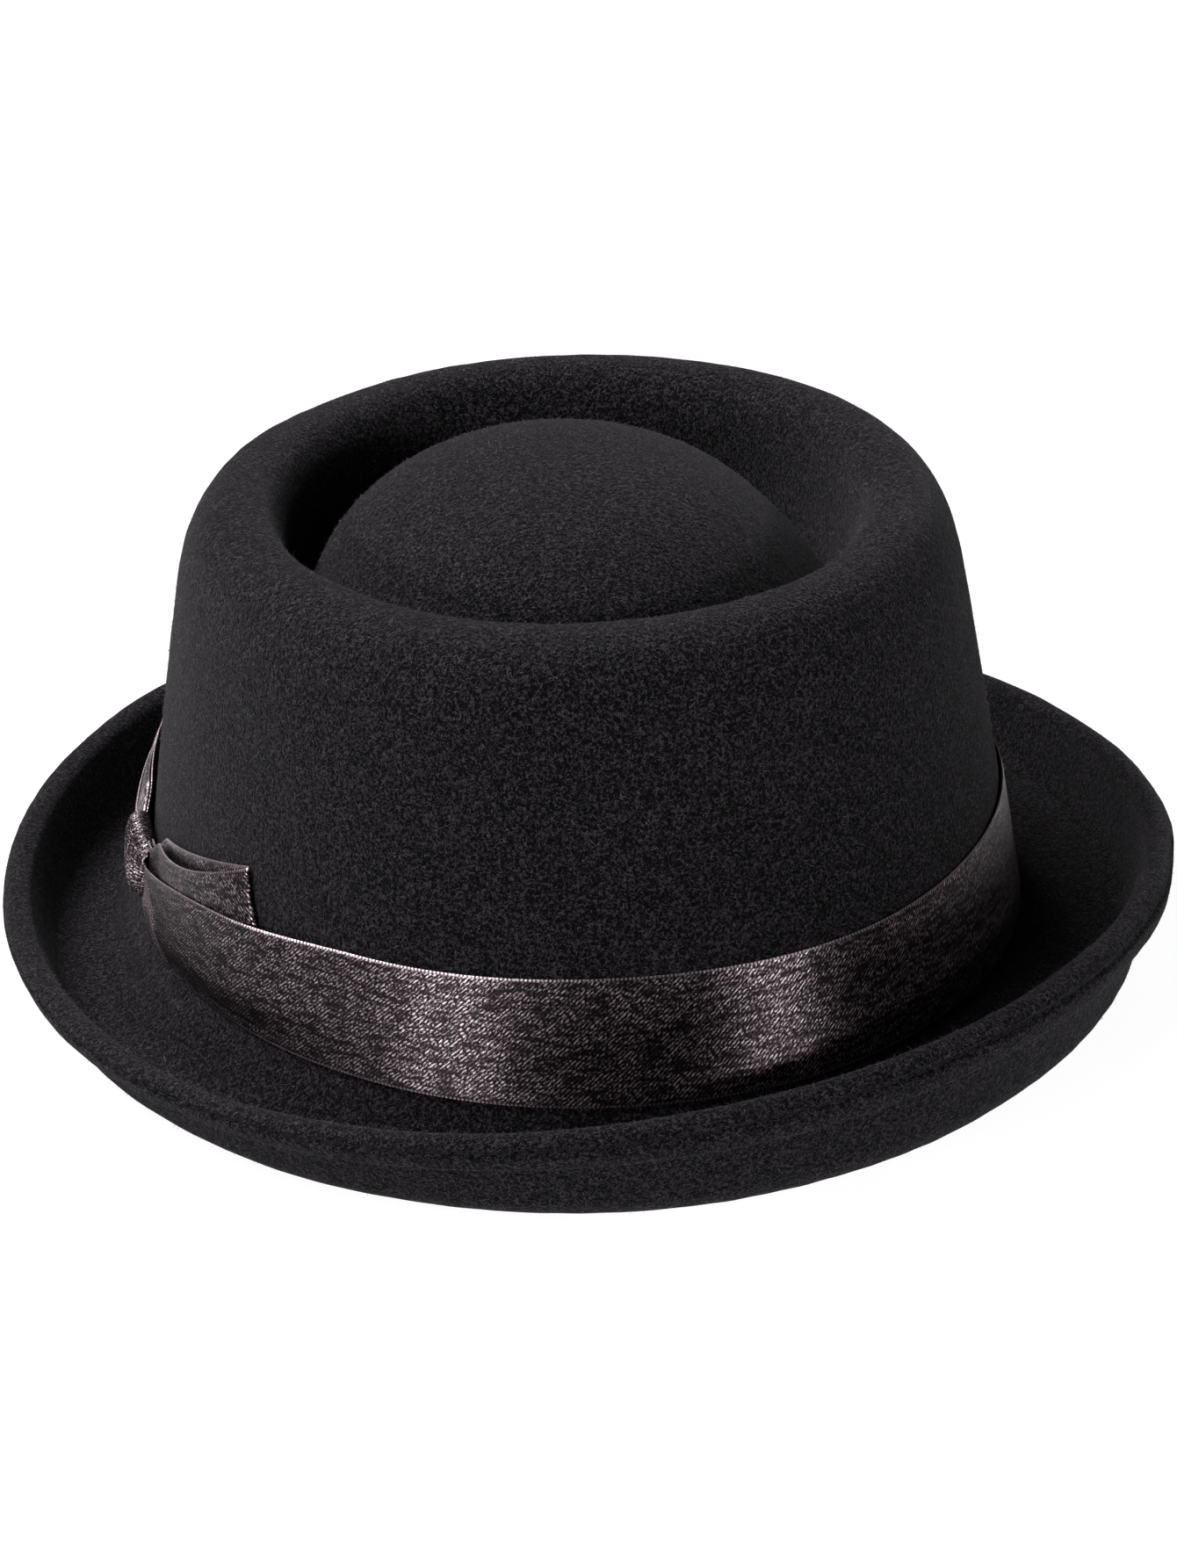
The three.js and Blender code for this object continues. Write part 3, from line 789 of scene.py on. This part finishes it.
def leather_band(material):
    """The sweatband, standing off its lining by a little slack that comes and goes."""
    turn = joint_gap(361)
    height = np.linspace(*LEATHER_Z, 19)[None, :]
    slack = 0.12 * np.sin(np.radians(turn * 9)) * smooth(height, 20, 44)
    points = on_crown(-LEATHER_OFF - LEATHER / 2 - 0.12 + slack, turn, height)
    band = cloth("leather_sweatband", points[::-1], LEATHER, material)
    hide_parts("sweatband")


def leather_stitches(material):
    """The seam that holds the leather to its tape."""
    height = LEATHER_Z[0] + 2
    out = -LEATHER_OFF - LEATHER - 0.2

    def path(along):
        middle = on_crown(out, BACK + 1 + along * 358, height)
        inward = on_crown(out - 1, BACK + 1 + along * 358, height) - middle
        return middle, inward / np.linalg.norm(inward, axis=1, keepdims=True)

    row = stitches("sweatband_stitches", path, LEATHER_STITCHES, 0.78, 0.24, material)
    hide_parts("sweatband_seam")


def reed_tape(material):
    """The tape folded round the reed, its two legs up against the leather's hem."""
    bend = np.radians(np.linspace(180, 360, 15))
    reach = REED_RADIUS + GAP + TAPE / 2
    legs = np.linspace(LEATHER_Z[0] - GAP, REED_Z, 4)[:-1]
    radius = np.concatenate([np.full(3, REED_AT - reach), REED_AT + reach * np.cos(bend),
                             np.full(3, REED_AT + reach)])
    height = np.concatenate([legs, REED_Z + reach * np.sin(bend), legs[::-1]])
    turn = np.linspace(0, 360, 361)[:-1][:, None]
    points = place(radius[None, :], turn, height[None, :])
    tape = cloth("reed_tape_fold", points, TAPE, material, wrap=True)
    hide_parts("reed_tape")


def joint_bow(material):
    """Flat bow over the leather's joint: two small loops under a narrow wrap."""
    out = -LEATHER_OFF - LEATHER - 2 * GAP - 0.6
    along = np.linspace(-1, 1, 41)[:, None]
    up = np.linspace(-1, 1, 15)[None, :]
    half = lerp(1.9, 4.0, smooth(np.abs(along), 0.05, 0.9))
    lift = -0.35 * np.sin(np.pi * np.abs(along)) * (1 - up ** 2)
    pucker = 0.12 * np.cos(up * 9) * (1 - np.abs(along)) ** 2
    points = on_crown(out + lift + pucker, BACK + along * 5.0, LABEL_Z + up * half)
    bow = cloth("joint_bow_loops", points[::-1], 0.4, material, hem=0.06)
    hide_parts("sweatband_joint_bow")
    around = np.linspace(0, 2 * math.pi, 49)[:-1][:, None]
    over = np.linspace(-1, 1, 9)[None, :]
    wrap = on_crown(out + 0.1 - 0.75 * np.cos(around), BACK + over * 0.75,
                    LABEL_Z + 2.4 * np.sin(around))
    cloth("joint_bow_wrap", wrap[::-1], 0.3, material, wrap=True)


def lining_side(material):
    """Satin strip gathered into shallow pleats towards the tip."""
    turn = joint_gap(721)
    height = np.linspace(*LINING_Z, 15)[None, :]
    pleat = 0.07 * np.sin(np.radians(turn * 96)) * smooth(height, 46, 61)
    points = on_crown(-LINING_OFF - LINING / 2 - 0.07 + pleat, turn, height)
    side = cloth("lining_side_strip", points[::-1], LINING_CLOTH, material)
    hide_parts("lining_side")


def lining_tip(material):
    """Oval tip of the lining, puckered along its seam and sagging in the middle. A square
    grid is rounded into the oval, so the weave runs straight across it."""
    top = LINING_Z[1]
    edge = crown_radius(top) - LINING_OFF - LINING - GAP
    along = np.linspace(-1, 1, 97)[:, None]
    across = np.linspace(-1, 1, 97)[None, :]
    x = along * np.sqrt(1 - across ** 2 / 2)
    y = across * np.sqrt(1 - along ** 2 / 2)
    share, turn = np.hypot(x, y), np.arctan2(y, x)
    pucker = 0.12 * np.sin(TIP_PUCKERS * turn) * share ** 6
    height = top - 0.2 - TIP_SAG * (1 - share ** 2) + pucker
    points = place((edge - 0.2) * share, np.degrees(turn), height)
    tip = cloth("lining_tip_oval", points, LINING_CLOTH, material)
    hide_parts("lining_tip")


def size_label(material):
    """Blank woven label tacked to the leather."""
    out = -LEATHER_OFF - LEATHER - GAP - 0.25
    along = np.linspace(-4.5, 4.5, 25)[:, None]
    height = LABEL_Z + np.linspace(-4, 4, 9)[None, :]
    bow = 0.15 * np.cos(np.radians(along * 20))
    points = on_crown(out - bow, BACK - LABEL_FROM_JOINT + along, height)
    label = cloth("blank_size_label", points[::-1], LINING_CLOTH, material)
    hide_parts("size_tab")


# ---------------------------------------------------------------- studio

def direction(azimuth, elevation):
    """The way from the hat to a place in the studio. Azimuth 0 is behind the wearer."""
    a, e = math.radians(azimuth), math.radians(elevation)
    return Vector((math.sin(a) * math.cos(e), -math.cos(a) * math.cos(e), math.sin(e)))


def camera():
    back = direction(AZIMUTH, ELEVATION)
    right = direction(AZIMUTH + 90, 0)
    level = Matrix((right, back.cross(right), back)).transposed()
    turned = level @ Matrix.Rotation(math.radians(ROLL_ANGLE), 3, "Z")
    data = bpy.data.cameras.new("camera")
    data.lens = LENS_MM
    data.sensor_width = SENSOR_MM
    made = bpy.data.objects.new("camera", data)
    made.matrix_world = Matrix.Translation(AIM + back * DISTANCE) @ turned.to_4x4()
    bpy.context.scene.collection.objects.link(made)
    bpy.context.scene.camera = made


def softbox(name, azimuth, elevation, size, power):
    """An area light that faces the hat."""
    back = direction(azimuth, elevation)
    data = bpy.data.lights.new(name, "AREA")
    data.shape = "RECTANGLE"
    data.size, data.size_y = size
    data.energy = power
    light = bpy.data.objects.new(name, data)
    light.location = back * LIGHT_DISTANCE + Vector((0, 0, 0.05))
    light.rotation_euler = back.to_track_quat("Z", "Y").to_euler()
    bpy.context.scene.collection.objects.link(light)


def floor():
    mesh = bpy.data.meshes.new("floor")
    angles = [math.radians(degrees) for degrees in range(0, 360, 5)]
    ring = [(FLOOR_RADIUS * math.cos(a), FLOOR_RADIUS * math.sin(a), 0) for a in angles]
    mesh.from_pydata(ring, [], [list(range(len(ring)))])
    mesh.materials.append(floor_look())
    made = bpy.data.objects.new("floor", mesh)
    made.location.z = -0.2 * MM
    bpy.context.scene.collection.objects.link(made)


def studio():
    """Soft white world, two broad lights for the felt, and two long low ones whose
    reflections make the bright patches on the satin."""
    world = bpy.data.worlds.new("soft_white")
    world.use_nodes = True
    background = world.node_tree.nodes["Background"]
    background.inputs["Color"].default_value = (1, 1, 1, 1)
    background.inputs["Strength"].default_value = 0.06
    bpy.context.scene.world = world
    bpy.context.scene.view_settings.view_transform = "Standard"
    softbox("key_left", -76, 60, (1.0, 0.9), 25)
    softbox("rim_back", -147, 50, (1.2, 0.5), 46)
    softbox("low_left", -54, 15, (0.8, 0.12), 16)
    softbox("low_right", 39, 17, (0.6, 0.12), 14)
    floor()


def main():
    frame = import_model()
    camera()
    studio()
    # The brighter colour of each satin is its painted glint colour.
    satin = satin_look("black_satin_ribbon", (0.008, 0.005, 0.006), (0.52, 0.425, 0.455), 0.6)
    lining = satin_look("black_lining_satin", (0.01, 0.01, 0.012), (0.06, 0.06, 0.07), 0.35)
    thread = thread_look()
    outline, points, normal = felt_grid()
    felt_body(points, felt_look())
    nap(outline, points, normal, fibre_look())
    lip_thread(thread)
    ribbon_band(satin)
    bow_wing("ribbon_near_wing", "bow_near_wing", 1, satin)
    bow_wing("ribbon_far_wing", "bow_far_wing", -1, satin)
    bow_knot(satin)
    leather_band(leather_look())
    leather_stitches(thread)
    reed_tape(tape_look())
    reed = frame["nodes"]["sweatband_reed"]
    reed.data.materials.clear()
    reed.data.materials.append(plastic_look())
    joint_bow(satin)
    lining_side(lining)
    lining_tip(lining)
    size_label(label_look())


main()
